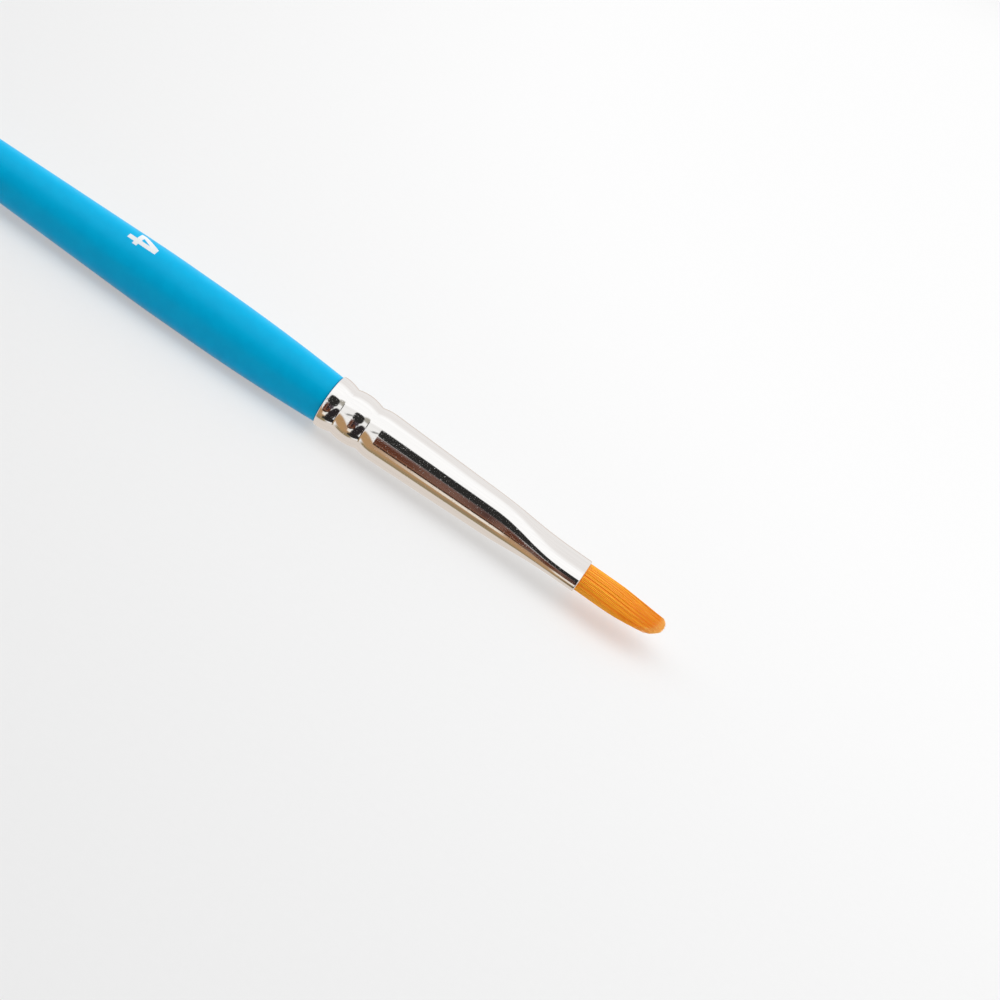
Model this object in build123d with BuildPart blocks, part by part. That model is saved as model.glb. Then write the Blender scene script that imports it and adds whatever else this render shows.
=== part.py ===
from build123d import *
from math import ceil, sqrt
import os

# A size 4 filbert detail brush: a turned wooden handle under a coat of lacquer, a seamless metal
# ferrule crimped on the handle's tenon and pressed to an oval mouth, and a head of synthetic hair
# whose roots are set in resin.
#
# +X runs along the brush to the tip of the hair and +Z is up, square to the flat of the hair. The
# origin lies under the middle of the brush, on the surface that its belly touches. All sizes are in
# millimetres. A place along the brush is measured from the ferrule's lip, where the handle goes in:
# positive towards the hair, negative towards the butt.

# ---- Handle ----

handle_length = 148.0  # from the lip to the butt
belly_diameter = 6.2  # the widest stretch, a true cylinder
belly_setback = 15.0  # from the lip to the belly
belly_length = 4.0
belly_bend = 4.0  # length of the bend from the belly into the taper
taper_length = 19.0  # straight part of the taper
taper_slope = 0.0243  # fall of the radius along the taper
tail_length = 31.0  # plain stretch that ends in the butt
butt_diameter = 3.3
coat_thickness = 0.16  # primer and lacquer
lip_step = 0.08  # the ferrule's lip stands this far proud of the lacquer

# ---- Ferrule ----

ferrule_length = 30.25
ferrule_diameter = 5.44  # of the plain cone, before its lip is turned in
ferrule_taper = 0.0247  # fall of the cone's radius along the ferrule
ferrule_wall = 0.22
lip_turn_in = 0.05
groove_1_place = 1.96  # middle of the groove
groove_1_depth = 0.095
groove_2_place = 5.0
groove_2_depth = 0.14
groove_width = 0.24  # flat bottom of each groove
bead_rise = 0.02  # the beads beside the grooves stand this far out of the cone
groove_run_out = 1.4  # from the second groove to the plain cone
mouth_width = 4.93
mouth_height = 2.58
mouth_run = 1.05  # oval stretch that ends in the mouth
press_length = 10.3  # the tube goes from round to oval over this length
press_lead = 2.0  # round stretch before it that shares its surface
press_sections = 14

# ---- Inside the ferrule ----

tenon_length = 14.0
tenon_chamfer = 0.5
glue_thickness = 0.05  # film between the tenon and the ferrule
plug_gap = 2.0  # air between the tenon and the resin
root_setback = 1.0  # from the mouth back to the resin, where the slice of bound roots begins
root_recess = 0.15  # from the mouth back to the front of that slice
skin_clearance = 0.01  # between two skins, one inside the other

# ---- Hair ----

hair_length = 9.5  # from the mouth to the tip
hair_belly_place = 3.0  # the head is fullest this far out of the mouth
hair_belly_width = 5.2
hair_belly_height = 2.05
tip_height = 0.6
tip_narrowing = 0.95  # share of the fullest width that the strands keep at the tip
tip_run = 3.5  # length of the rounded end, seen from above
tip_roundness = 2.3  # exponent of the rounded end: 2 is an ellipse, more is blunter
crown_setback = 0.5  # the strands of the upper and lower faces end this much earlier
strand_pitch = 0.134
strand_side = 0.11  # each strand is a square in section, at its fullest
strand_tip_side = 0.028
strand_root_setback = 0.3  # from the mouth back to the strands' roots in the slice
strand_wall_gap = 0.05  # between the ferrule's wall and the outermost strands

# ---- What follows from them ----

overall_length = handle_length + ferrule_length + hair_length
lip_x = handle_length - overall_length / 2
axis_height = belly_diameter / 2
brush_axis = Axis((lip_x, 0, axis_height), (1, 0, 0))
level_plane = Plane(origin=(lip_x, 0, axis_height), x_dir=(1, 0, 0), z_dir=(0, 0, 1))

glue_inset = ferrule_wall + skin_clearance
tenon_inset = glue_inset + glue_thickness + skin_clearance
plug_start = tenon_length + plug_gap
plug_end = ferrule_length - root_setback - skin_clearance
press_start = ferrule_length - mouth_run - press_length


def cross_plane(place):
    """The plane square to the brush at a place, its x to world +Y and its y to world +Z."""
    return Plane(origin=(lip_x + place, 0, axis_height), x_dir=(0, 1, 0), z_dir=(1, 0, 0))


def cone_radius(place):
    """Outer radius of the ferrule before it is crimped and pressed."""
    return ferrule_diameter / 2 - ferrule_taper * place


def ferrule_oval(place, inset):
    """Half width and half height of the ferrule's section, inset from its outer face."""
    share = min(max((place - press_start) / press_length, 0), 1)
    pressed = share**3 * (10 - 15 * share + 6 * share * share)
    round_radius = cone_radius(place)
    half_width = round_radius + (mouth_width / 2 - round_radius) * pressed
    half_height = round_radius + (mouth_height / 2 - round_radius) * pressed
    return half_width - inset, half_height - inset


def places_between(start, end, count):
    """Evenly spaced places, both ends included."""
    return [start + (end - start) * step / (count - 1) for step in range(count)]


def crimped_line(inset):
    """Draw the ferrule's outer line, inset, over its two beads and grooves; return its two ends."""
    lip = (0, cone_radius(0) - lip_turn_in - inset)
    bead_start = lip
    for place, depth in ((groove_1_place, groove_1_depth), (groove_2_place, groove_2_depth)):
        groove_radius = cone_radius(place) - depth - inset
        groove_start = (place - groove_width / 2, groove_radius)
        groove_end = (place + groove_width / 2, groove_radius)
        crest_place = (bead_start[0] + groove_start[0]) / 2
        crest = (crest_place, cone_radius(crest_place) + bead_rise - inset)
        ThreePointArc(bead_start, crest, groove_start)
        Line(groove_start, groove_end)
        bead_start = groove_end
    run_out_place = groove_2_place + groove_width / 2 + groove_run_out
    run_out = (run_out_place, cone_radius(run_out_place) - inset)
    TangentArc(run_out, groove_end, tangent=(-1, 0))
    return lip, run_out


def crimped_ring(outer_inset, inner_inset, end):
    """Draw the closed outline of a tube that follows the crimps and ends at a place on the cone."""
    ends = []
    for inset in (outer_inset, inner_inset):
        lip, run_out = crimped_line(inset)
        cone_end = (end, cone_radius(end) - inset)
        Line(run_out, cone_end)
        ends.append((lip, cone_end))
    (outer_lip, outer_end), (inner_lip, inner_end) = ends
    Line(outer_lip, inner_lip)
    Line(outer_end, inner_end)


def handle_line(inset):
    """Draw the handle's outer line from the lip to the butt, inset; return its two ends."""
    shoulder = (0, cone_radius(0) - lip_turn_in - lip_step - inset)
    belly_radius = belly_diameter / 2 - inset
    belly_front = (-belly_setback, belly_radius)
    belly_back = (-belly_setback - belly_length, belly_radius)
    taper_front = (belly_back[0] - belly_bend, belly_radius - belly_bend * taper_slope / 2)
    taper_back = (taper_front[0] - taper_length, taper_front[1] - taper_length * taper_slope)
    tail_radius = butt_diameter / 2 - inset
    tail_front = (tail_length - handle_length, tail_radius)
    dome_edge = (butt_diameter / 2 - handle_length, tail_radius)
    butt = (inset - handle_length, 0)
    TangentArc(belly_front, shoulder, tangent=(1, 0))
    Line(belly_front, belly_back)
    TangentArc(belly_back, taper_front, tangent=(-1, 0))
    Line(taper_front, taper_back)
    TangentArc(tail_front, taper_back, tangent=(1, 0))
    Line(tail_front, dome_edge)
    TangentArc(dome_edge, butt, tangent=(-1, 0))
    return shoulder, butt


# ---- Handle core: turned hardwood, its tenon pinched by the ferrule's two crimps ----

with BuildPart() as handle_core:
    with BuildSketch(level_plane):
        with BuildLine():
            shoulder, butt = handle_line(coat_thickness + skin_clearance)
            tenon_root, crimp_end = crimped_line(tenon_inset)
            Line(shoulder, tenon_root)
            chamfer_start = tenon_length - tenon_chamfer
            chamfer_radius = cone_radius(chamfer_start) - tenon_inset
            Polyline(
                crimp_end,
                (chamfer_start, chamfer_radius),
                (tenon_length, chamfer_radius - tenon_chamfer),
                (tenon_length, 0),
                butt,
            )
        make_face()
    revolve(axis=brush_axis)
handle_core.part.label = "handle_core"

# ---- Handle lacquer: one coat from the ferrule's lip round the butt ----

with BuildPart() as handle_lacquer:
    with BuildSketch(level_plane):
        with BuildLine():
            outer_shoulder, outer_butt = handle_line(0)
            inner_shoulder, inner_butt = handle_line(coat_thickness)
            Line(outer_shoulder, inner_shoulder)
            Line(outer_butt, inner_butt)
        make_face()
    revolve(axis=brush_axis)
handle_lacquer.part.label = "handle_lacquer"

# ---- Tenon glue: a film that fills the ring between the tenon and the ferrule ----

with BuildPart() as tenon_glue:
    with BuildSketch(level_plane):
        with BuildLine():
            crimped_ring(glue_inset, glue_inset + glue_thickness, tenon_length - tenon_chamfer)
        make_face()
    revolve(axis=brush_axis)
tenon_glue.part.label = "tenon_glue"

# ---- Ferrule: a crimped cone that is pressed to an oval mouth ----

with BuildPart() as ferrule:
    press_surface_start = press_start - press_lead
    with BuildSketch(level_plane):
        with BuildLine():
            crimped_ring(0, ferrule_wall, press_surface_start)
        make_face()
    revolve(axis=brush_axis)
    for inset, mode in ((0, Mode.ADD), (ferrule_wall, Mode.SUBTRACT)):
        for place in places_between(press_surface_start, ferrule_length, press_sections):
            with BuildSketch(cross_plane(place)):
                Ellipse(*ferrule_oval(place, inset))
        loft(mode=mode)
ferrule.part.label = "ferrule"

# ---- Epoxy plug: the resin that the hair's roots are set in, as wide as the ferrule inside ----

with BuildPart() as epoxy_plug:
    for place in places_between(plug_start, plug_end, press_sections):
        with BuildSketch(cross_plane(place)):
            Ellipse(*ferrule_oval(place, glue_inset))
    loft()
epoxy_plug.part.label = "epoxy_plug"

# ---- Bristle tuft: square strands that widen to the head's belly and close towards its tip ----

root_inset = ferrule_wall + strand_wall_gap + strand_side / 2
root_half_width, root_half_height = ferrule_oval(ferrule_length, root_inset)
belly_half_width = (hair_belly_width - strand_side) / 2
belly_half_height = (hair_belly_height - strand_side) / 2
tip_half_width = belly_half_width * tip_narrowing
tip_half_height = (tip_height - strand_tip_side) / 2


def strand(across, upward):
    """One strand; across and upward are its shares of the head's half width and half height."""
    end_roundness = (1 - abs(across) ** tip_roundness) ** (1 / tip_roundness)
    end = hair_length - tip_run * (1 - end_roundness) - crown_setback * upward * upward
    share = (end - hair_belly_place) / (hair_length - hair_belly_place)
    end_half_width = belly_half_width + (tip_half_width - belly_half_width) * share
    end_half_height = belly_half_height + (tip_half_height - belly_half_height) * share
    squares = (
        (-strand_root_setback, root_half_width, root_half_height, strand_side),
        (hair_belly_place, belly_half_width, belly_half_height, strand_side),
        (end, end_half_width, end_half_height, strand_tip_side),
    )
    rings = []
    for place, half_width, half_height, side in squares:
        plane = cross_plane(ferrule_length + place)
        y, z = across * half_width, upward * half_height
        reach = side / 2
        corners = ((-reach, -reach), (reach, -reach), (reach, reach), (-reach, reach))
        rings.append([plane.from_local_coords((y + dy, z + dz, 0)) for dy, dz in corners])
    outlines = [rings[0], rings[-1]]
    for ring, next_ring in zip(rings, rings[1:]):
        for corner in range(4):
            outlines.append(
                [ring[corner - 1], ring[corner], next_ring[corner], next_ring[corner - 1]]
            )
    return Solid(Shell([Face(Wire.make_polygon(outline)) for outline in outlines]))


row_pitch = strand_pitch * sqrt(3) / 2
row_reach = ceil(root_half_height / row_pitch)
column_reach = ceil(root_half_width / strand_pitch)
strands = []
for row in range(-row_reach, row_reach + 1):
    for column in range(-column_reach, column_reach + 1):
        across = (column + row % 2 / 2) * strand_pitch / root_half_width
        upward = row * row_pitch / root_half_height
        if across * across + upward * upward <= 1:
            strands.append(strand(across, upward))
print(f"{len(strands)} strands")

with BuildPart() as bristle_tuft:
    with BuildSketch(cross_plane(ferrule_length - root_setback)):
        Ellipse(*ferrule_oval(ferrule_length, ferrule_wall + skin_clearance))
    extrude(amount=root_setback - root_recess)
    add(strands)
bristle_tuft.part.label = "bristle_tuft"

# ---- One STEP file for each piece ----

os.makedirs("parts", exist_ok=True)
for piece in (handle_core, handle_lacquer, tenon_glue, ferrule, epoxy_plug, bristle_tuft):
    export_step(piece.part, f"parts/{piece.part.label}.step")
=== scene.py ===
"""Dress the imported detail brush: its lacquered handle, crimped ferrule, golden hair and white studio.

All places are in metres in the part's own frame: +X runs along the brush to the tip of the hair, +Z is
up and square to the flat of the hair, and the origin lies under the middle of the brush. Sizes that
belong to the brush are written in millimetres, and a place along it is measured from the ferrule's
lip, positive towards the hair. Finishes are in metres, and a density is the number of a pattern's
features in a metre, for all axes alike or one for each.
"""

import logging
import random
from collections.abc import Callable
from dataclasses import dataclass
from enum import Enum
from math import ceil, cos, degrees, hypot, pi, radians, sin, sqrt
from typing import Any

import bpy
import numpy as np
from mathutils import Matrix, Vector

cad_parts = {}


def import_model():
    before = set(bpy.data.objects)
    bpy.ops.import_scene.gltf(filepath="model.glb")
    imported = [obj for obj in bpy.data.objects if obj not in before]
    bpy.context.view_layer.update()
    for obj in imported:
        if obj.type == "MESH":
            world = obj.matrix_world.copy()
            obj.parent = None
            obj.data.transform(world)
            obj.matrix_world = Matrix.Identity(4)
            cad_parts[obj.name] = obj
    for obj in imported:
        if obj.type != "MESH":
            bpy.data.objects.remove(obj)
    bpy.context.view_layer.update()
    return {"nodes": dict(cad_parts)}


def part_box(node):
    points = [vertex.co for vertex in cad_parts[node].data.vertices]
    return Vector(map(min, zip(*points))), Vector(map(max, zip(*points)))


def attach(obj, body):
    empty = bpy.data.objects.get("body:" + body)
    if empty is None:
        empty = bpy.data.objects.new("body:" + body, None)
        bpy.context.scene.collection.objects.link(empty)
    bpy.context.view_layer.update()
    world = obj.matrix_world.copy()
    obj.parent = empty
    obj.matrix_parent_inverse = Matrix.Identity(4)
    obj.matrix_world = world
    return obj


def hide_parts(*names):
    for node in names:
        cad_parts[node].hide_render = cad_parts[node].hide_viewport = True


log = logging.getLogger("detail_brush")

MM = 0.001
WELD = 0.0000015  # points of a turned piece this close are one
BODY = "root"

Colour = tuple[float, float, float]
Point = tuple[float, float]
Span = tuple[float, float]
Density = float | tuple[float, float, float]
Sockets = dict[str | int, Any]


# ---- Shader graphs written as Python ----


class Number:
    """A socket that carries one number; Python's operators on it add Math nodes."""

    def __init__(self, graph: "Graph", socket: bpy.types.NodeSocket) -> None:
        self.graph = graph
        self.socket = socket

    def _math(self, operation: str, *terms: Any) -> "Number":
        """Add a Math node on some terms."""
        node = self.graph.add("ShaderNodeMath", {"operation": operation}, dict(enumerate(terms)))
        return Number(self.graph, node.outputs[0])

    def __add__(self, other: Any) -> "Number":
        """self + other."""
        return self._math("ADD", self, other)

    def __radd__(self, other: Any) -> "Number":
        """other + self."""
        return self._math("ADD", other, self)

    def __sub__(self, other: Any) -> "Number":
        """self - other."""
        return self._math("SUBTRACT", self, other)

    def __rsub__(self, other: Any) -> "Number":
        """other - self."""
        return self._math("SUBTRACT", other, self)

    def __mul__(self, other: Any) -> "Number":
        """self * other."""
        return self._math("MULTIPLY", self, other)

    def __rmul__(self, other: Any) -> "Number":
        """other * self."""
        return self._math("MULTIPLY", other, self)

    def __pow__(self, exponent: Any) -> "Number":
        """self ** exponent."""
        return self._math("POWER", self, exponent)

    def angle_from(self, across: "Number") -> "Number":
        """Angle in degrees whose sine part is self and whose cosine part is across."""
        return self._math("ARCTAN2", self, across) * degrees(1.0)

    def arcsine(self) -> "Number":
        """Angle in degrees whose sine is self."""
        return self._math("ARCSINE", self) * degrees(1.0)

    def fade_in(self, low: float, high: float) -> "Number":
        """Go smoothly from 0 to 1 while self goes from low to high.

        Args:
            low: Value of self up to which the result is 0.
            high: Value of self from which the result is 1.

        Returns:
            The smoothed share.
        """
        node = self.graph.add(
            "ShaderNodeMapRange",
            {"interpolation_type": "SMOOTHSTEP"},
            {"Value": self, "From Min": low, "From Max": high},
        )
        return Number(self.graph, node.outputs[0])


class Graph:
    """A node tree that is written as Python."""

    def __init__(self, tree: bpy.types.NodeTree) -> None:
        tree.nodes.clear()
        self.tree = tree

    def add(
        self,
        kind: str,
        settings: dict[str, Any] | None = None,
        inputs: Sockets | None = None,
    ) -> bpy.types.Node:
        """Add any node.

        Args:
            kind: Type of the node.
            settings: Its own settings, which are set first.
            inputs: What its sockets, by name or number, get: a value, a socket or a Number.

        Returns:
            The node.
        """
        node = self.tree.nodes.new(kind)
        for name, value in (settings or {}).items():
            setattr(node, name, value)
        for name, value in (inputs or {}).items():
            self._feed(node.inputs[name], value)
        return node

    def _feed(self, socket: bpy.types.NodeSocket, value: Any) -> None:
        """Link a socket, or set its value."""
        if isinstance(value, Number):
            value = value.socket
        if isinstance(value, bpy.types.NodeSocket):
            self.tree.links.new(value, socket)
        elif socket.type == "RGBA":
            socket.default_value = (*value, 1.0)
        else:
            socket.default_value = value

    def blend(self, share: Any, first: Any, second: Any) -> bpy.types.NodeSocket:
        """Colour that goes from first to second with share."""
        # By number: the node names its sockets alike for numbers, vectors and colours.
        inputs = {0: share, 6: first, 7: second}
        return self.add("ShaderNodeMix", {"data_type": "RGBA"}, inputs).outputs[2]

    def grey(self, level: Number) -> bpy.types.NodeSocket:
        """Grey of a level."""
        return self.add("ShaderNodeCombineColor", None, {0: level, 1: level, 2: level}).outputs[0]

    def coordinates(self, kind: str = "Object") -> bpy.types.NodeSocket:
        """Coordinates of the point that is shaded."""
        return self.add("ShaderNodeTexCoord").outputs[kind]

    def parts(self, vector: bpy.types.NodeSocket) -> tuple[Number, ...]:
        """The x, y and z of a vector."""
        node = self.add("ShaderNodeSeparateXYZ", None, {0: vector})
        return tuple(Number(self, socket) for socket in node.outputs)

    def noise(self, density: Density, detail: float = 2.0) -> Number:
        """Noise between about 0.2 and 0.8, fixed to the piece.

        Args:
            density: Number of its features in a metre.
            detail: Number of finer layers that are added to it.

        Returns:
            The noise.
        """
        scale = density if isinstance(density, tuple) else (density,) * 3
        stretched = self.add("ShaderNodeMapping", None, {"Vector": self.coordinates(), "Scale": scale})
        inputs = {"Vector": stretched.outputs[0], "Scale": 1.0, "Detail": detail}
        return Number(self, self.add("ShaderNodeTexNoise", None, inputs).outputs["Fac"])

    def attribute(self, name: str) -> Number:
        """A number that the mesh carries at each vertex."""
        settings = {"attribute_name": name, "attribute_type": "GEOMETRY"}
        return Number(self, self.add("ShaderNodeAttribute", settings).outputs["Fac"])

    def bump(self, height: Number, depth: float) -> bpy.types.NodeSocket:
        """Normal of a surface raised by height times depth."""
        inputs = {"Height": height, "Distance": depth, "Strength": 1.0}
        return self.add("ShaderNodeBump", None, inputs).outputs[0]

    def on_ray(self, kind: str) -> Number:
        """1 for a ray of a kind, such as Is Camera Ray, and 0 for the others."""
        return Number(self, self.add("ShaderNodeLightPath").outputs[kind])


class Finish:
    """A surface finish: one material with its own shader."""

    def material(self) -> bpy.types.Material:
        """Make the material."""
        material = bpy.data.materials.new(type(self).__name__)
        material.use_nodes = True
        graph = Graph(material.node_tree)
        surface = graph.add("ShaderNodeBsdfPrincipled", None, self.sockets(graph))
        graph.add("ShaderNodeOutputMaterial", None, {"Surface": surface.outputs[0]})
        return material

    def sockets(self, graph: Graph) -> Sockets:
        """What the shader's sockets get."""
        raise NotImplementedError


@dataclass(frozen=True)
class SatinLacquer(Finish):
    """Blue lacquer that has been rubbed to a soft sheen, with painted shade where it meets the metal."""

    seam_x: float
    # painted shade: a dark line in the colour that stands for the shadow at the joint with the metal
    painted_shade_width: float = 0.00016
    painted_shade_colour: Colour = (0.0, 0.10, 0.26)
    colour: Colour = (0.0, 0.51, 0.88)
    mottle: Colour = (0.0, 0.49, 0.86)
    mottle_density: Density = 900.0
    rub_density: Density = (60.0, 2400.0, 2400.0)
    peel_density: Density = 3500.0
    relief: float = 0.000004
    roughness: float = 0.30
    gloss: float = 0.07

    def sockets(self, graph: Graph) -> Sockets:
        """Faintly mottled colour, with an orange-peel surface and rubbed streaks."""
        mottling = graph.noise(self.mottle_density).fade_in(0.35, 0.65)
        rubbing = graph.noise(self.rub_density)
        peel = graph.noise(self.peel_density)
        x, _, _ = graph.parts(graph.coordinates())
        # painted shade: the lacquer darkens towards the metal, where the joint's shadow falls
        painted_shade = x.fade_in(self.seam_x - self.painted_shade_width, self.seam_x)
        coat = graph.blend(mottling, self.mottle, self.colour)
        return {
            "Base Color": graph.blend(painted_shade, coat, self.painted_shade_colour),
            "Roughness": self.roughness + 0.08 * rubbing,
            "Specular IOR Level": self.gloss,
            "Normal": graph.bump(peel + 0.5 * rubbing, self.relief),
        }


@dataclass(frozen=True)
class NickelPlate(Finish):
    """Bright nickel on a drawn tube, with fine draw lines and a few pits in the plating."""

    colour: Colour = (0.93, 0.915, 0.90)
    drawn: Colour = (0.89, 0.875, 0.86)
    draw_density: Density = (40.0, 4200.0, 4200.0)
    pit_density: Density = 8200.0
    relief: float = 0.0000015
    roughness: float = 0.055

    def sockets(self, graph: Graph) -> Sockets:
        """Draw lines along the tube, and rougher pits."""
        lines = graph.noise(self.draw_density, detail=3.0)
        pits = graph.noise(self.pit_density, detail=1.0).fade_in(0.66, 0.74)
        return {
            "Base Color": graph.blend(lines.fade_in(0.3, 0.7), self.colour, self.drawn),
            "Metallic": 1.0,
            "Roughness": self.roughness + 0.03 * lines + 0.22 * pits,
            "Normal": graph.bump(lines + 0.6 * pits, self.relief),
        }


@dataclass(frozen=True)
class GoldenFilament(Finish):
    """Golden synthetic filament: each its own tone, pale at its tip, and given a faint painted glow.

    The painted glow stands for the light that comes through the head from behind.
    """

    deep: Colour = (0.93, 0.26, 0.003)
    bright: Colour = (1.0, 0.51, 0.025)
    tip: Colour = (1.0, 0.64, 0.18)
    tip_reach: Span = (0.94, 1.02)
    painted_glow: float = 0.11
    roughness: float = 0.34
    gloss: float = 0.4

    def sockets(self, graph: Graph) -> Sockets:
        """Colour by the filament's own tone and by the distance along it."""
        tone = graph.attribute("tone")
        body = graph.blend(tone, self.deep, self.bright)
        colour = graph.blend(graph.attribute("reach").fade_in(*self.tip_reach), body, self.tip)
        return {
            "Base Color": colour,
            "Roughness": self.roughness + 0.12 * tone,
            "Specular IOR Level": self.gloss,
            # painted glow: an emission in the filament's own colour
            "Emission Color": colour,
            "Emission Strength": self.painted_glow,
        }


@dataclass(frozen=True)
class SoakedRoot(Finish):
    """Roots of the hair where resin has soaked into them."""

    colour: Colour = (0.45, 0.17, 0.03)
    filament_ends: Colour = (0.62, 0.28, 0.06)
    density: Density = 9000.0
    relief: float = 0.00002
    roughness: float = 0.35

    def sockets(self, graph: Graph) -> Sockets:
        """Amber, with the ends of the filaments showing through."""
        ends = graph.noise(self.density)
        return {
            "Base Color": graph.blend(ends, self.colour, self.filament_ends),
            "Roughness": self.roughness + 0.2 * ends,
            "Normal": graph.bump(ends, self.relief),
        }


@dataclass(frozen=True)
class WhiteInk(Finish):
    """White printing ink on the lacquer."""

    colour: Colour = (0.90, 0.93, 0.95)
    thinned: Colour = (0.62, 0.80, 0.90)
    spot_density: Density = 7000.0
    roughness: float = 0.45

    def sockets(self, graph: Graph) -> Sockets:
        """Ink that thins in fine spots."""
        spots = graph.noise(self.spot_density).fade_in(0.62, 0.75)
        return {
            "Base Color": graph.blend(spots, self.colour, self.thinned),
            "Roughness": self.roughness + 0.15 * spots,
        }


@dataclass(frozen=True)
class TurnedWood(Finish):
    """Turned and sanded hardwood, its grain along the handle."""

    light: Colour = (0.74, 0.57, 0.38)
    dark: Colour = (0.52, 0.36, 0.20)
    pore: Colour = (0.34, 0.22, 0.12)
    grain_density: Density = (45.0, 1300.0, 1300.0)
    pore_density: Density = (260.0, 5200.0, 5200.0)
    relief: float = 0.00003
    roughness: float = 0.55

    def sockets(self, graph: Graph) -> Sockets:
        """Long grain with short dark pores."""
        grain = graph.noise(self.grain_density, detail=4.0)
        pores = graph.noise(self.pore_density).fade_in(0.60, 0.72)
        wood = graph.blend(grain.fade_in(0.3, 0.7), self.light, self.dark)
        return {
            "Base Color": graph.blend(pores, wood, self.pore),
            "Roughness": self.roughness + 0.2 * grain,
            "Normal": graph.bump(grain - 0.5 * pores, self.relief),
        }


@dataclass(frozen=True)
class SetGlue(Finish):
    """Yellowish set glue with small bubbles."""

    colour: Colour = (0.80, 0.72, 0.52)
    cloud: Colour = (0.66, 0.57, 0.38)
    cloud_density: Density = 1500.0
    bubble_density: Density = 6000.0
    relief: float = 0.00002
    roughness: float = 0.42

    def sockets(self, graph: Graph) -> Sockets:
        """Cloudy glue."""
        clouds = graph.noise(self.cloud_density)
        bubbles = graph.noise(self.bubble_density).fade_in(0.64, 0.70)
        return {
            "Base Color": graph.blend(clouds.fade_in(0.3, 0.7), self.colour, self.cloud),
            "Roughness": self.roughness + 0.2 * clouds,
            "Normal": graph.bump(bubbles, self.relief),
        }


@dataclass(frozen=True)
class AmberResin(Finish):
    """Amber epoxy that holds the roots, with their lines in it."""

    colour: Colour = (0.62, 0.40, 0.13)
    root: Colour = (0.42, 0.22, 0.05)
    root_density: Density = (80.0, 6500.0, 6500.0)
    relief: float = 0.00001
    roughness: float = 0.18

    def sockets(self, graph: Graph) -> Sockets:
        """Amber with the lines of the roots."""
        roots = graph.noise(self.root_density)
        return {
            "Base Color": graph.blend(roots.fade_in(0.35, 0.65), self.colour, self.root),
            "Roughness": self.roughness + 0.15 * roots,
            "Normal": graph.bump(roots, self.relief),
        }


@dataclass(frozen=True)
class WhiteTable(Finish):
    """Smooth white board with painted light: brightest behind the hair and dimmer towards the near left.

    The view sees part of it as its own even white, so that the brush's shadow stays soft. Far away
    it is white again, and meets the white background. The fade and the recovery are counted in
    reaches from the bright place.
    """

    white: float = 0.975
    painted_dimming: float = 0.24
    own_light: float = 0.52
    bright_place: Point = (0.129, 0.201)
    reach: Point = (0.087, 0.136)
    fade: Span = (1.0, 3.0)
    recovery: Span = (5.0, 13.0)
    tooth: float = 0.012
    tooth_density: Density = 1200.0
    roughness: float = 0.75

    def sockets(self, graph: Graph) -> Sockets:
        """White with painted dimming across the board, in part its own light for the view."""
        x, y, _ = graph.parts(graph.coordinates())
        aside = (x - self.bright_place[0]) * (1 / self.reach[0])
        deep = (y - self.bright_place[1]) * (1 / self.reach[1])
        away = (aside * aside + deep * deep) ** 0.5
        # painted light: the board's colour dims away from the bright place, as the light falls off
        painted_dim_share = away.fade_in(*self.fade) * (1 - away.fade_in(*self.recovery))
        tone = self.white - self.painted_dimming * painted_dim_share - self.tooth * graph.noise(self.tooth_density)
        seen = self.own_light * graph.on_ray("Is Camera Ray")
        return {
            "Base Color": graph.grey(tone * (1 - seen)),
            "Emission Color": graph.grey(tone * seen),
            "Emission Strength": 1.0,
            "Roughness": self.roughness,
            "Specular IOR Level": 0.0,
        }


# ---- Modelling by hand, in code ----


@dataclass(frozen=True)
class BrushLine:
    """The brush's own axis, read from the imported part."""

    lip_x: float
    height: float

    @classmethod
    def of_part(cls) -> "BrushLine":
        """Find the axis from the boxes of the ferrule and the lacquer."""
        ferrule_low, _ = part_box("ferrule")
        coat_low, coat_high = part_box("handle_lacquer")
        return cls(ferrule_low.x, (coat_low.z + coat_high.z) / 2)

    def point(self, place: float, across: float, upward: float) -> Vector:
        """Point in the part's frame, from millimetres along, across and above the axis."""
        return Vector((self.lip_x + place * MM, across * MM, self.height + upward * MM))

    def place(self, x: float) -> float:
        """Place along the brush, in millimetres, of a point's x."""
        return (x - self.lip_x) / MM


def select_only(piece: bpy.types.Object) -> None:
    """Select one piece alone and make it the active one."""
    bpy.ops.object.select_all(action="DESELECT")
    piece.select_set(True)
    bpy.context.view_layer.objects.active = piece


def start_in_edit_mode(add: Callable[..., Any], name: str, **sizes: Any) -> bpy.types.Object:
    """Add a primitive with nothing else selected and enter its mesh.

    Args:
        add: The operator that adds it.
        name: Name of the new object.
        sizes: The operator's own arguments.

    Returns:
        The new object, all of its mesh selected.
    """
    bpy.ops.object.select_all(action="DESELECT")
    add(**sizes)
    piece = bpy.context.object
    piece.name = piece.data.name = name
    bpy.ops.object.transform_apply()
    bpy.ops.object.mode_set(mode="EDIT")
    bpy.ops.mesh.select_all(action="SELECT")
    return piece


def end_edit_mode() -> None:
    """Turn all faces of the mesh outwards and leave it."""
    bpy.ops.mesh.select_all(action="SELECT")
    bpy.ops.mesh.normals_make_consistent(inside=False)
    bpy.ops.object.mode_set(mode="OBJECT")


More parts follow.
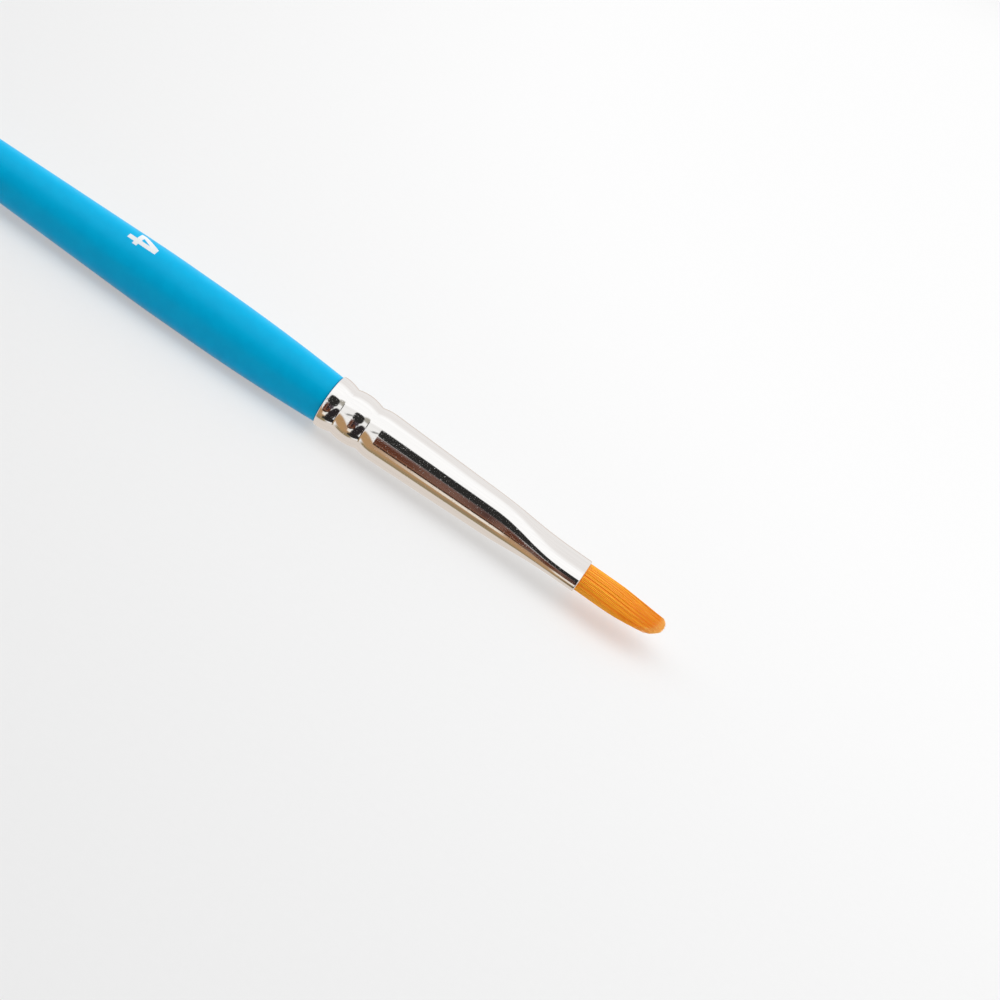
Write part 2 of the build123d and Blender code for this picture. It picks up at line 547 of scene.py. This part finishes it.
def turn(name: str, line: BrushLine, profile: list[Point], sides: int) -> bpy.types.Object:
    """Turn a profile round the brush's axis, as on a lathe.

    Args:
        name: Name of the piece.
        line: The brush's axis.
        profile: Places and radii in millimetres; a closed profile ends where it starts.
        sides: Number of steps round the axis.

    Returns:
        The turned piece, closed and with its faces outwards.
    """
    piece = start_in_edit_mode(bpy.ops.mesh.primitive_plane_add, name, size=MM)
    bpy.ops.mesh.merge(type="CENTER")
    points = [line.point(place, 0.0, radius) for place, radius in profile]
    bpy.ops.transform.translate(value=points[0])
    for before, after in zip(points, points[1:]):
        bpy.ops.mesh.extrude_region_move(TRANSFORM_OT_translate={"value": after - before})
    bpy.ops.mesh.select_all(action="SELECT")
    centre = line.point(0.0, 0.0, 0.0)
    bpy.ops.mesh.spin(steps=sides, angle=2 * pi, center=centre, axis=(1.0, 0.0, 0.0))
    bpy.ops.mesh.select_all(action="SELECT")
    bpy.ops.mesh.remove_doubles(threshold=WELD)
    end_edit_mode()
    return piece


def dress(piece: bpy.types.Object, finish: Finish, crease: float = 35.0) -> None:
    """Give a piece its finish, smooth it but for its edges, and let it ride.

    Args:
        piece: The piece.
        finish: What it is finished in.
        crease: Angle in degrees from which an edge stays sharp.
    """
    piece.data.materials.clear()
    piece.data.materials.append(finish.material())
    select_only(piece)
    bpy.ops.object.shade_smooth_by_angle(angle=radians(crease))
    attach(piece, BODY)


def points_of(mesh: bpy.types.Mesh) -> np.ndarray:
    """The mesh's vertices, one row each."""
    flat = np.empty(len(mesh.vertices) * 3)
    mesh.vertices.foreach_get("co", flat)
    return flat.reshape(-1, 3)


def move_to(mesh: bpy.types.Mesh, points: np.ndarray) -> None:
    """Move the mesh's vertices."""
    mesh.vertices.foreach_set("co", points.ravel())
    mesh.update()


def steps(start: float, end: float, pitch: float) -> list[float]:
    """Evenly spaced places from start to end, both included, no further apart than the pitch."""
    count = max(1, ceil(abs(end - start) / pitch - 1e-9))
    return [start + (end - start) * step / count for step in range(count + 1)]


def arch(place: float, start: Point, crest: Point, end: Point) -> float:
    """Radius at a place on the parabola through three points of a profile."""
    (a, ra), (b, rb), (c, rc) = start, crest, end
    share_a = (place - b) * (place - c) / ((a - b) * (a - c))
    share_b = (place - a) * (place - c) / ((b - a) * (b - c))
    share_c = (place - a) * (place - b) / ((c - a) * (c - b))
    return ra * share_a + rb * share_b + rc * share_c


# ---- Handle ----


@dataclass
class Numeral:
    """The size numeral, printed on the handle with its top towards the hair. Sizes in millimetres."""

    line: BrushLine
    surface: Callable[[float], float]
    bottom: float = -25.17
    middle_angle: float = 80.9
    ink: float = 0.008
    clearance: float = 0.002  # keeps the faces of the ink and the lacquer apart
    facet: float = 0.16
    width: float = 2.02
    outline: tuple[Point, ...] = (
        (0.33, 0.0),
        (0.90, 0.0),
        (0.90, 0.80),
        (2.02, 0.80),
        (2.02, 1.38),
        (1.10, 3.25),
        (0.33, 3.25),
        (0.33, 1.30),
        (0.0, 1.30),
        (0.0, 0.80),
        (0.33, 0.80),
    )
    eye: tuple[Point, ...] = ((0.90, 1.33), (0.90, 2.35), (1.42, 1.33))

    def build(self) -> bpy.types.Object:
        """Slice the flat figure finely, give the ink its thickness and wrap it round the handle."""
        piece = self._flat_figure()
        bpy.ops.object.mode_set(mode="EDIT")
        for aside in steps(0.0, self.width, self.facet)[1:-1]:
            bpy.ops.mesh.select_all(action="SELECT")
            bpy.ops.mesh.bisect(plane_co=(0.0, aside * MM, 0.0), plane_no=(0.0, 1.0, 0.0))
        bpy.ops.object.mode_set(mode="OBJECT")
        wall = piece.modifiers.new("ink", "SOLIDIFY")
        wall.thickness = self.ink * MM
        wall.offset = 1.0
        bpy.ops.object.modifier_apply(modifier=wall.name)
        self._wrap(piece.data)
        return piece

    def _flat_figure(self) -> bpy.types.Object:
        """Cut the figure, with its eye, from a flat curve."""
        curve = bpy.data.curves.new("size_numeral", "CURVE")
        curve.dimensions = "2D"
        curve.fill_mode = "BOTH"
        for loop in (self.outline, self.eye):
            spline = curve.splines.new("POLY")
            spline.points.add(len(loop) - 1)
            spline.use_cyclic_u = True
            for point, (aside, up) in zip(spline.points, loop):
                point.co = (up * MM, aside * MM, 0.0, 1.0)
        piece = bpy.data.objects.new(curve.name, curve)
        bpy.context.collection.objects.link(piece)
        select_only(piece)
        bpy.ops.object.convert(target="MESH")
        return bpy.context.object

    def _wrap(self, mesh: bpy.types.Mesh) -> None:
        """Wrap the flat figure round the handle; its right side turns down towards the viewer."""
        flat = points_of(mesh) / MM
        floor = flat[:, 2].min()
        wrapped = []
        for up, aside, height in flat:
            place = self.bottom + up
            radius = self.surface(place)
            angle = radians(self.middle_angle) + (aside - self.width / 2) / radius
            rim = radius + height - floor + self.clearance
            wrapped.append(self.line.point(place, -rim * cos(angle), rim * sin(angle)))
        move_to(mesh, np.array(wrapped))


@dataclass
class Handle:
    """The lacquered handle. Sizes in millimetres, as in the part's source."""

    line: BrushLine
    length: float = 148.0
    lip_radius: float = 2.59
    belly_radius: float = 3.1
    belly_front: float = -15.0
    belly_back: float = -19.0
    taper_front: float = -23.0
    taper_back: float = -42.0
    taper_slope: float = 0.0243
    tail_front: float = -117.0
    butt_radius: float = 1.65
    coat: float = 0.16
    edge: float = 0.03
    dome_turn: float = pi / 28  # angle between points of the butt's dome
    sides: int = 144

    def radius(self, place: float) -> float:
        """Radius of the lacquer at a place, up to where the butt's dome begins.

        Args:
            place: Place along the brush, in millimetres.

        Returns:
            The radius in millimetres.
        """
        if place > self.belly_front:
            share = (place - self.belly_front) / -self.belly_front
            return self.belly_radius - (self.belly_radius - self.lip_radius) * share**2
        if place > self.belly_back:
            return self.belly_radius
        bend = self.belly_back - self.taper_front
        front_radius = self.belly_radius - bend * self.taper_slope / 2
        if place > self.taper_front:
            share = (self.belly_back - place) / bend
            return self.belly_radius - (self.belly_radius - front_radius) * share**2
        back_radius = front_radius - (self.taper_front - self.taper_back) * self.taper_slope
        if place > self.taper_back:
            return front_radius - (self.taper_front - place) * self.taper_slope
        if place > self.tail_front:
            share = (place - self.tail_front) / (self.taper_back - self.tail_front)
            return self.butt_radius + (back_radius - self.butt_radius) * share**2
        return self.butt_radius

    def _line(self, inset: float) -> list[Point]:
        """Draw the coat's outer line from the lip to the butt's pole, inset.

        Args:
            inset: How far inside the coat's surface the line runs, in millimetres.

        Returns:
            Its points, closer together where the handle bends more.
        """
        dome = self.butt_radius - self.length
        # Where each stretch ends, and the pitch of its points.
        stretches = (
            (self.belly_front, 0.75),
            (self.belly_back, 2.0),
            (self.taper_front, 0.5),
            (self.taper_back, 2.0),
            (self.tail_front, 2.5),
            (dome, 6.0),
        )
        places = [0.0]
        for end, pitch in stretches:
            places += steps(places[-1], end, pitch)[1:]
        points = [(place, self.radius(place) - inset) for place in places]
        reach = self.butt_radius - inset
        for angle in steps(0.0, pi / 2, self.dome_turn)[1:]:
            points.append((dome - reach * sin(angle), max(0.0, reach * cos(angle))))
        return points

    def build(self) -> list[bpy.types.Object]:
        """Make the coat, a closed skin over the wood, and print the numeral on it."""
        lip = self.lip_radius
        rim = [
            (0.0, lip - self.coat),
            (0.0, lip - self.edge),
            (-self.edge / 3, lip - self.edge / 3),
            (-self.edge, lip),
        ]
        skin = self._line(self.coat)[:0:-1] + rim + self._line(0.0)[1:]
        coat = turn("lacquer_coat", self.line, skin, self.sides)
        dress(coat, SatinLacquer(self.line.lip_x))
        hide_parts("handle_lacquer")
        numeral = Numeral(self.line, self.radius).build()
        dress(numeral, WhiteInk(), crease=50.0)
        return [coat, numeral]


# ---- Ferrule ----


@dataclass(frozen=True)
class Crimp:
    """One groove rolled into the ferrule: its place and its depth, in millimetres."""

    place: float
    depth: float


@dataclass(frozen=True)
class Pitch:
    """How far apart the points of the tube's profile lie on each stretch of it, in millimetres."""

    bead: float
    groove: float
    cone: float
    press: float


class TubeEnd(Enum):
    """An end of the tube; its value is the direction in which the tube goes on from there."""

    LIP = 1
    MOUTH = -1


@dataclass
class Ferrule:
    """The crimped and pressed tube. Sizes in millimetres, fitted to the photograph.

    It has the solid ferrule's length and mouth, with a fuller lip and deeper crimps.
    """

    line: BrushLine
    length: float = 30.25
    back_radius: float = 2.8
    taper: float = 0.029
    wall: float = 0.22
    lip_bead_drop: float = 0.022  # the first bead's crest lies this far under the cone
    crimps: tuple[Crimp, ...] = (Crimp(1.83, 0.225), Crimp(4.82, 0.243))
    groove_width: float = 0.08
    run_out: float = 1.4
    mouth_half_width: float = 2.465
    mouth_half_height: float = 1.29
    mouth_squareness: float = 2.33  # exponent of the oval, 2 for an ellipse
    mouth_run: float = 1.05
    press_length: float = 10.3
    lip_edge: float = 0.09
    mouth_edge: float = 0.1
    edge_turn: float = pi / 10  # angle between points of a rim
    outer_pitch: Pitch = Pitch(bead=0.06, groove=0.03, cone=0.6, press=0.16)
    inner_pitch: Pitch = Pitch(bead=0.2, groove=0.12, cone=0.6, press=0.5)
    sides: int = 168

    def cone(self, place: float) -> float:
        """Radius of the plain cone at a place."""
        return self.back_radius - self.taper * place

    def radius(self, place: float) -> float:
        """Radius of the crimped tube before it is pressed.

        Args:
            place: Place along the ferrule, in millimetres.

        Returns:
            The radius in millimetres.
        """
        start = (0.0, self.cone(0.0))
        drop = self.lip_bead_drop
        half = self.groove_width / 2
        for crimp in self.crimps:
            floor = self.cone(crimp.place) - crimp.depth
            groove_start = (crimp.place - half, floor)
            if place < groove_start[0]:
                crest = (start[0] + groove_start[0]) / 2
                return arch(place, start, (crest, self.cone(crest) - drop), groove_start)
            if place <= crimp.place + half:
                return floor
            start = (crimp.place + half, floor)
            drop = 0.0
        if place < start[0] + self.run_out:
            share = (start[0] + self.run_out - place) / self.run_out
            end_radius = self.cone(start[0] + self.run_out)
            return end_radius - (end_radius - start[1]) * share**2
        return self.cone(place)

    @property
    def press_start(self) -> float:
        """Place where the tube begins to go from round to oval."""
        return self.length - self.mouth_run - self.press_length

    def pressed(self, place: float) -> float:
        """How far the section has gone from round, 0, to the mouth's oval, 1, smooth at both ends."""
        share = min(max((place - self.press_start) / self.press_length, 0.0), 1.0)
        return share**3 * (10 - 15 * share + 6 * share * share)

    def _wall_line(self, inset: float, pitch: Pitch) -> list[Point]:
        """Draw one face of the tube between its two rims.

        Args:
            inset: How far inside the tube's outer face the line runs, in millimetres.
            pitch: How far apart its points lie.

        Returns:
            Its points, from the lip to the mouth.
        """
        half = self.groove_width / 2
        places = [0.0]
        for crimp in self.crimps:
            places += steps(places[-1], crimp.place - half, pitch.bead)[1:]
            places += steps(places[-1], crimp.place + half, pitch.groove)[1:]
        places += steps(places[-1], places[-1] + self.run_out, pitch.bead)[1:]
        places += steps(places[-1], self.press_start, pitch.cone)[1:]
        places += steps(places[-1], self.length, pitch.press)[1:]
        front = self.length - self.mouth_edge
        return [(place, self.radius(place) - inset) for place in places if self.lip_edge < place < front]

    def build(self) -> bpy.types.Object:
        """Turn the tube, roll its rims round and press its mouth oval."""
        outer = self._wall_line(0.0, self.outer_pitch)
        inner = self._wall_line(self.wall, self.inner_pitch)
        profile = self._rim(TubeEnd.LIP) + outer + self._rim(TubeEnd.MOUTH) + inner[::-1]
        profile.append(profile[0])
        tube = turn("ferrule_tube", self.line, profile, self.sides)
        self._press(tube.data)
        dress(tube, NickelPlate(), crease=40.0)
        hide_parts("ferrule")
        return tube

    def _rim(self, end: TubeEnd) -> list[Point]:
        """Draw the rounded rim at one end of the tube.

        Args:
            end: Which end.

        Returns:
            Its points: from the inner to the outer face at the lip, and back again at the mouth.
        """
        place, edge = (0.0, self.lip_edge) if end is TubeEnd.LIP else (self.length, self.mouth_edge)
        radius = self.radius(place)
        points = []
        for angle in steps(-pi / 2, pi / 2, self.edge_turn):
            corner = radius - edge if angle > 0 else radius - self.wall + edge
            points.append((place + end.value * edge * (1 - cos(angle)), corner + edge * sin(angle)))
        return points if end is TubeEnd.LIP else points[::-1]

    def _press(self, mesh: bpy.types.Mesh) -> None:
        """Press the round tube to an oval towards its mouth."""
        points = points_of(mesh)
        for point in points:
            place = self.line.place(point[0])
            share = self.pressed(place)
            if share == 0.0:
                continue
            y, z = point[1] / MM, (point[2] - self.line.height) / MM
            distance, radius = hypot(y, z), self.radius(place)
            oval_y = distance + (self.mouth_half_width - radius) * share
            oval_z = distance + (self.mouth_half_height - radius) * share
            squareness = 2.0 + (self.mouth_squareness - 2.0) * share
            cosine, sine = y / distance, z / distance
            out = (abs(cosine) ** squareness + abs(sine) ** squareness) ** (-1.0 / squareness)
            point[1] = oval_y * cosine * out * MM
            point[2] = self.line.height + oval_z * sine * out * MM
        move_to(mesh, points)


# ---- Hair ----


@dataclass
class HairHead:
    """The filbert head: filaments that leave the mouth, swell a little and close to a rounded end.

    Sizes in millimetres; distances along the head are measured from the ferrule's mouth, and the
    filaments are rooted behind it.
    """

    line: BrushLine
    ferrule: Ferrule
    count: int = 900
    mouth_fullness: float = 1.03  # the squarish mouth's area, as a share of an ellipse's
    length: float = 9.5
    root_depth: float = 0.8
    thickness: float = 0.098
    tip_thickness: float = 0.022
    taper_share: float = 0.55  # share of a filament's length that tapers
    taper_power: float = 0.8
    tip_run: float = 2.75  # length of the rounded end, seen from above
    tip_roundness: float = 2.3  # exponent of that end's outline, 2 for an ellipse
    tip_offset: float = 0.22  # where the longest filaments stand, as a share of the half width
    lean_across: float = 0.2
    lean_up: float = 0.1
    crown_setback: float = 0.5  # by how much the upper and lower filaments end earlier
    root_scatter: float = 0.16  # as a share of the distance between roots
    end_scatter: float = 0.12
    stray_across: float = 0.05
    stray_up: float = 0.035
    waviness: float = 0.02
    waves: float = 1.1  # over the head's length
    rings: int = 9
    corners: int = 5
    half_widths: tuple[Point, ...] = (
        (-1.0, 2.17), (0.0, 2.19), (2.3, 2.28), (4.2, 2.38), (6.2, 2.29), (7.7, 2.12), (9.5, 1.86)
    )
    half_heights: tuple[Point, ...] = (
        (-1.0, 0.99), (0.0, 1.03), (2.3, 1.0), (4.2, 0.88), (6.2, 0.66), (9.5, 0.28)
    )
    block_setback: float = 1.0
    block_depth: float = 0.8
    block_crown: float = 0.05
    block_edge: float = 0.08
    block_clearance: float = 0.01
    block_sides: int = 96
    seed: int = 4

    def _spread(self, table: tuple[Point, ...], distance: np.ndarray | float) -> np.ndarray | float:
        """Half width or half height of the head at some distances, read from its table."""
        distances, sizes = zip(*table)
        return np.interp(distance, distances, sizes)

    def _template(self) -> bpy.types.Object:
        """Model one filament, a millimetre thick: a ring extruded along the brush and capped."""
        piece = start_in_edit_mode(
            bpy.ops.mesh.primitive_circle_add,
            "hair_filaments",
            vertices=self.corners,
            radius=0.5 * MM,
            rotation=(0.0, pi / 2, 0.0),
        )
        for _ in range(self.rings - 1):
            bpy.ops.mesh.extrude_region_move(TRANSFORM_OT_translate={"value": (MM, 0.0, 0.0)})
        bpy.ops.mesh.edge_face_add()
        end_edit_mode()
        return piece

    def _roots(self, rng: random.Random) -> list[Point]:
        """Places of the filaments, in rows of triangles, as shares of the half width and height."""
        half_width = self._spread(self.half_widths, 0.0)
        half_height = self._spread(self.half_heights, 0.0)
        squareness = self.ferrule.mouth_squareness
        area = pi * half_width * half_height * self.mouth_fullness
        triangle = sqrt(3) / 2
        pitch = sqrt(area / self.count / triangle)
        row_pitch = pitch * triangle
        rows, columns = ceil(half_height / row_pitch), ceil(half_width / pitch)
        roots = []
        for row in range(-rows, rows + 1):
            for column in range(-columns, columns + 1):
                scatter = [rng.uniform(-self.root_scatter, self.root_scatter) for _ in range(2)]
                across = (column + row % 2 / 2 + scatter[0]) * pitch / half_width
                upward = (row + scatter[1]) * row_pitch / half_height
                if abs(across) ** squareness + abs(upward) ** squareness <= 1.0:
                    roots.append((across, upward))
        return roots

    def build(self) -> list[bpy.types.Object]:
        """Copy the one filament, and lay each copy along its own path."""
        rng = random.Random(self.seed)
        roots = self._roots(rng)
        piece = self._template()
        copies = piece.modifiers.new("copies", "ARRAY")
        copies.count = len(roots)
        template = points_of(piece.data)
        bpy.ops.object.modifier_apply(modifier=copies.name)
        share = template[:, 0] / template[:, 0].max()
        laid, tones = [], []
        for root in roots:
            laid.append(self._lay(template, share, root, rng))
            tones.append(rng.random())
        move_to(piece.data, np.concatenate(laid))
        carried = {"tone": np.repeat(tones, len(template)), "reach": np.tile(share, len(roots))}
        for name, values in carried.items():
            attribute = piece.data.attributes.new(name, "FLOAT", "POINT")
            attribute.data.foreach_set("value", values.astype(np.float32))
        dress(piece, GoldenFilament(), crease=80.0)
        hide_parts("bristle_tuft")
        return [piece, self._root_block()]

    def _lay(self, template: np.ndarray, share: np.ndarray, root: Point, rng: random.Random) -> np.ndarray:
        """Lay one copy of the filament along its path.

        Args:
            template: The modelled filament's points.
            share: How far along the filament each of them lies.
            root: Where it is rooted, as shares of the head's half width and half height.
            rng: Source of its small irregularities.

        Returns:
            The points in the part's frame.
        """
        across, upward = root
        off_middle = min(1.0, abs(across - self.tip_offset) / (1 + self.tip_offset))
        roundness = (1 - off_middle**self.tip_roundness) ** (1 / self.tip_roundness)
        end = self.length - self.tip_run * (1 - roundness) - self.crown_setback * upward**2
        end -= abs(rng.gauss(0.0, self.end_scatter))
        distance = -self.root_depth + (end + self.root_depth) * share
        free = np.clip(distance / self.length, 0.0, 1.0)
        stray_y, stray_z = rng.gauss(0.0, self.stray_across), rng.gauss(0.0, self.stray_up)
        wave_y, wave_z = rng.gauss(0.0, self.waviness), rng.gauss(0.0, self.waviness)
        wave = 2 * pi * self.waves * free + rng.uniform(0.0, 2 * pi)
        y = across * self._spread(self.half_widths, distance) + stray_y * free**2
        z = upward * self._spread(self.half_heights, distance) + stray_z * free**2
        y += self.lean_across * free**4 + wave_y * np.sin(wave) * free
        z += self.lean_up * free**4 + wave_z * np.cos(wave) * free
        taper = np.clip((1 - share) / self.taper_share, 0.0, 1.0) ** self.taper_power
        size = self.tip_thickness + (self.thickness - self.tip_thickness) * taper
        twist = rng.uniform(0.0, 2 * pi)
        local_y = template[:, 1] * cos(twist) - template[:, 2] * sin(twist)
        local_z = template[:, 1] * sin(twist) + template[:, 2] * cos(twist)
        x = self.line.lip_x + (self.ferrule.length + distance) * MM
        return np.column_stack((x, y * MM + local_y * size, self.line.height + z * MM + local_z * size))

    def _root_block(self) -> bpy.types.Object:
        """Model the slice of bound roots that closes the mouth behind the hair."""
        inset = self.ferrule.wall + self.block_clearance
        half_width = self.ferrule.mouth_half_width - inset
        half_height = self.ferrule.mouth_half_height - inset
        centre = self.line.point(self.ferrule.length - self.block_setback, 0.0, 0.0)
        piece = start_in_edit_mode(
            bpy.ops.mesh.primitive_circle_add,
            "hair_root",
            vertices=self.block_sides,
            radius=MM,
            fill_type="NGON",
            location=centre,
            rotation=(0.0, pi / 2, 0.0),
        )
        bpy.ops.transform.resize(value=(1.0, half_width, half_height), center_override=centre)
        depth = (self.block_depth * MM, 0.0, 0.0)
        bpy.ops.mesh.extrude_region_move(TRANSFORM_OT_translate={"value": depth})
        bpy.ops.mesh.inset(thickness=self.block_edge * MM)
        bpy.ops.transform.translate(value=(self.block_crown * MM, 0.0, 0.0))
        end_edit_mode()
        dress(piece, SoakedRoot())
        return piece


# ---- Studio ----


@dataclass(frozen=True)
class Card:
    """A patch of the studio's surroundings, as a polished surface sees it. Angles in degrees.

    Rise is the angle round the brush's axis: 0 is level in front, 90 straight up and 180 level behind.
    Swing is the angle along the brush, positive towards the hair.
    """

    colour: Colour
    low: float
    high: float
    left: float = -110.0
    right: float = 110.0
    softness: float = 0.1
    squareness: float = 6.0
    tilt: float = 0.0

    def cover(self, rise: Number, swing: Number) -> Number:
        """Mask of the patch.

        Args:
            rise: Rise of the direction that is looked in.
            swing: Its swing.

        Returns:
            1 inside the patch and 0 outside, with a soft edge.
        """
        up = rise - (self.low + self.high) / 2
        along = swing - (self.left + self.right) / 2
        turned, lifted = along, up
        if self.tilt:
            cosine, sine = cos(radians(self.tilt)), sin(radians(self.tilt))
            turned, lifted = cosine * along + sine * up, cosine * up - sine * along
        across = turned * (2 / (self.right - self.left))
        upward = lifted * (2 / (self.high - self.low))
        power = self.squareness / 2
        reach = (across * across) ** power + (upward * upward) ** power
        return 1 - (reach ** (1 / self.squareness)).fade_in(1 - self.softness, 1 + self.softness)


# Later cards cover earlier ones. A row: colour, low, high, left, right, softness, squareness, tilt.
CARDS: tuple[Card, ...] = (
    # Wide panels: bright overhead, the wall behind and the warm ground.
    Card((1.07, 1.075, 1.08), 57.0, 130.0, softness=0.12),
    Card((0.88, 0.86, 0.85), 120.0, 200.0, softness=0.3),
    Card((0.74, 0.67, 0.61), -185.0, -60.0, softness=0.06),
    # The near edge of the ground, from olive through tan to cream.
    Card((0.285, 0.223, 0.124), -63.0, -48.0, -26.0, 9.0, 0.25),
    Card((0.243, 0.205, 0.153), -51.0, -33.0, -12.0, 14.0, 0.2),
    Card((0.46, 0.28, 0.135), -42.0, -6.0, -56.0, 9.0, 0.25, 2.6, -50.0),
    Card((0.86, 0.77, 0.67), -35.0, -19.0, -4.0, 14.0, 0.2, 4.0),
    Card((0.44, 0.27, 0.155), -36.0, -18.0, -10.0, -2.6, 0.35, 4.0),
    # Dim patches to both sides, for the beads.
    Card((0.30, 0.30, 0.29), 24.0, 31.0, -28.0, -6.0, 0.5, 2.4, 34.0),
    Card((0.40, 0.38, 0.33), 42.0, 66.0, 17.0, 41.0, 0.35, 2.4, 30.0),
    Card((0.20, 0.153, 0.11), -24.0, 9.0, 27.0, 40.0, 0.3, 2.6),
    # The brown lower half of the dark band, with its stripes.
    Card((0.05, 0.024, 0.015), -21.0, 15.0, -7.5, 12.0, 0.06, 5.0),
    Card((0.205, 0.087, 0.049), -14.0, -7.0, -6.5, 8.0, 0.3, 5.0),
    Card((0.11, 0.036, 0.019), -8.0, 13.0, -7.0, 11.0, 0.12, 5.0),
    Card((0.17, 0.10, 0.087), 12.0, 20.5, -7.0, 11.0, 0.25, 5.0),
    Card((0.19, 0.10, 0.075), -13.0, 14.0, -1.9, 0.3, 0.4, 4.0),
    # For the beads again: a pale glint and dark lobes.
    Card((0.92, 0.90, 0.86), -31.0, -13.0, 3.0, 11.0, 0.25, 2.2, -35.0),
    Card((0.06, 0.045, 0.055), 4.0, 27.0, 4.5, 15.5, 0.3, 2.6),
    Card((0.024, 0.02, 0.022), -52.0, 22.0, 9.5, 27.0, 0.12, 2.8, -14.0),
    Card((0.022, 0.02, 0.02), -55.0, -34.0, 4.0, 26.5, 0.15, 2.6, 8.0),
    # Thin black lines, and the black upper half of the dark band.
    Card((0.03, 0.020, 0.022), -10.0, 21.0, 0.45, 4.6, 0.3, 4.0),
    Card((0.03, 0.028, 0.022), -51.0, -40.0, 0.3, 4.6, 0.35, 4.0),
    Card((0.026, 0.025, 0.024), 19.5, 57.5, -8.0, 20.5, 0.09, 3.2),
)


@dataclass
class Studio:
    """White board, soft light from above and the camera.

    Angles are in degrees, the lens and the aim in millimetres and other lengths in metres.

    Dull surfaces see a sky that begins well above the level in front, is full overhead, falls to
    the far sky behind the brush and gains the back light towards the level there. Polished surfaces
    see the wall with the cards on it, and the view sees plain white.
    """

    line: BrushLine
    table_size: float = 6.0
    table_cuts: int = 4
    camera_rise: float = 30.0
    camera_swing: float = 2.6
    camera_roll: float = 34.87
    lens: float = 68.05
    clip: Span = (0.01, 50.0)
    distance: float = 0.185
    aim_place: float = 19.374
    aim_up: float = 1.53
    zenith: float = 1.75
    far_sky: float = 0.8
    back_light: float = 0.9
    overhead_rise: Span = (46.0, 78.0)
    far_rise: Span = (100.0, 132.0)
    back_rise: Span = (145.0, 180.0)
    wall: Colour = (0.92, 0.915, 0.905)
    backdrop: Colour = (1.0, 1.0, 1.0)
    cards: tuple[Card, ...] = CARDS

    def build(self) -> None:
        """Set up the board, the surroundings and the camera."""
        self._table()
        self._surroundings()
        self._camera()

    def _table(self) -> None:
        """Lay the white board."""
        board = start_in_edit_mode(bpy.ops.mesh.primitive_plane_add, "table_top", size=self.table_size)
        bpy.ops.mesh.subdivide(number_cuts=self.table_cuts)
        bpy.ops.object.mode_set(mode="OBJECT")
        board.data.materials.append(WhiteTable().material())
        board.visible_glossy = False

    def _surroundings(self) -> None:
        """Paint the cards for polished surfaces, a soft sky for dull ones and white behind the view."""
        world = bpy.data.worlds.new("studio")
        bpy.context.scene.world = world
        world.use_nodes = True
        world.cycles.sampling_method = "NONE"
        graph = Graph(world.node_tree)
        x, y, z = graph.parts(graph.coordinates("Generated"))
        rise, swing = z.angle_from(y * -1.0), x.arcsine()
        mirrored = self.wall
        for card in self.cards:
            mirrored = graph.blend(card.cover(rise, swing), mirrored, card.colour)
        fall = (self.zenith - self.far_sky) * rise.fade_in(*self.far_rise)
        sky = rise.fade_in(*self.overhead_rise) * (self.zenith - fall)
        sky = sky + self.back_light * rise.fade_in(*self.back_rise)
        lit = graph.blend(graph.on_ray("Is Glossy Ray"), graph.grey(sky), mirrored)
        clear = graph.on_ray("Is Camera Ray") + graph.on_ray("Is Transmission Ray")
        colour = graph.blend(clear, lit, self.backdrop)
        light = graph.add("ShaderNodeBackground", None, {"Color": colour, "Strength": 1.0})
        graph.add("ShaderNodeOutputWorld", None, {"Surface": light.outputs[0]})

    def _camera(self) -> None:
        """Aim the camera along the photograph's line of sight."""
        data = bpy.data.cameras.new("camera")
        data.lens = self.lens
        data.clip_start, data.clip_end = self.clip
        camera = bpy.data.objects.new("camera", data)
        rise, swing, roll = map(radians, (self.camera_rise, self.camera_swing, self.camera_roll))
        facing = Vector((0.0, -cos(rise), sin(rise)))
        level_up = Vector((0.0, sin(rise), cos(rise)))
        towards_camera = facing * cos(swing) + Vector((sin(swing), 0.0, 0.0))
        along = Vector((cos(swing), 0.0, 0.0)) - facing * sin(swing)
        right = along * cos(roll) + level_up * sin(roll)
        up = level_up * cos(roll) - along * sin(roll)
        target = self.line.point(self.aim_place, 0.0, 0.0) + level_up * self.aim_up * MM
        turned = Matrix((right, up, towards_camera)).transposed()
        camera.matrix_world = Matrix.LocRotScale(target + towards_camera * self.distance, turned, None)
        bpy.context.scene.collection.objects.link(camera)
        bpy.context.scene.camera = camera


@dataclass(frozen=True)
class SealedPieces:
    """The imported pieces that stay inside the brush, and what each is finished in."""

    nodes: dict[str, bpy.types.Object]

    def build(self) -> list[bpy.types.Object]:
        """Give them their materials; their meshes stay as packed."""
        finishes = {"handle_core": TurnedWood(), "tenon_glue": SetGlue(), "epoxy_plug": AmberResin()}
        for name, finish in finishes.items():
            material = finish.material()
            for place in self.nodes[name].material_slots:
                place.material = material
        return [self.nodes[name] for name in finishes]


def main() -> None:
    """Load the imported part, dress it, and set it in the studio."""
    logging.basicConfig(level=logging.INFO, format="%(name)s: %(message)s")
    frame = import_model()
    line = BrushLine.of_part()
    Studio(line).build()
    pieces = SealedPieces(frame["nodes"]).build()
    pieces += Handle(line).build()
    ferrule = Ferrule(line)
    pieces.append(ferrule.build())
    pieces += HairHead(line, ferrule).build()
    for piece in pieces:
        log.info("%s: %d faces", piece.name, len(piece.data.polygons))
    bpy.context.scene.view_settings.view_transform = "Standard"


if __name__ == "__main__":
    main()
